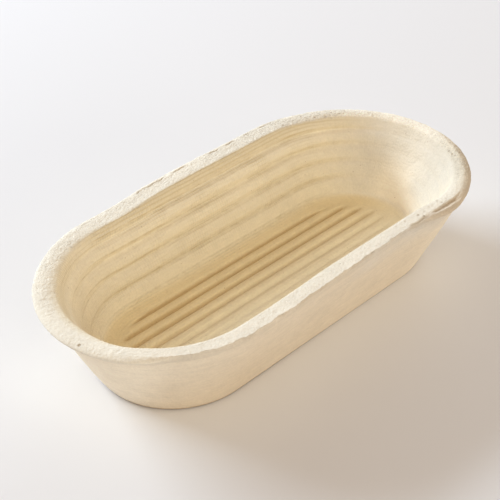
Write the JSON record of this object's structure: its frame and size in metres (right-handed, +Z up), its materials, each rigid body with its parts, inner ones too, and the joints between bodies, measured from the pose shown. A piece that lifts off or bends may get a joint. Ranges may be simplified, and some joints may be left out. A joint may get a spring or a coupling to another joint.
{
  "type": "proofing basket",
  "caption": "Oblong moulded wood-pulp proofing basket with round ends, a flared and rippled wall, a ribbed floor and a thick lip, for shaping and resting bread dough.",
  "frame": {"origin": "middle of the underside, on the surface that the basket stands on", "axes": "+X along the basket, +Y across it, +Z up out of the mouth"},
  "size_m": [0.27, 0.14, 0.055],
  "materials": {
    "wood_pulp": "matt felted wood pulp with the print of a forming screen inside"
  },
  "bodies": {
    "root": {"pulp_shell": "wood_pulp"}
  },
  "joints": []
}
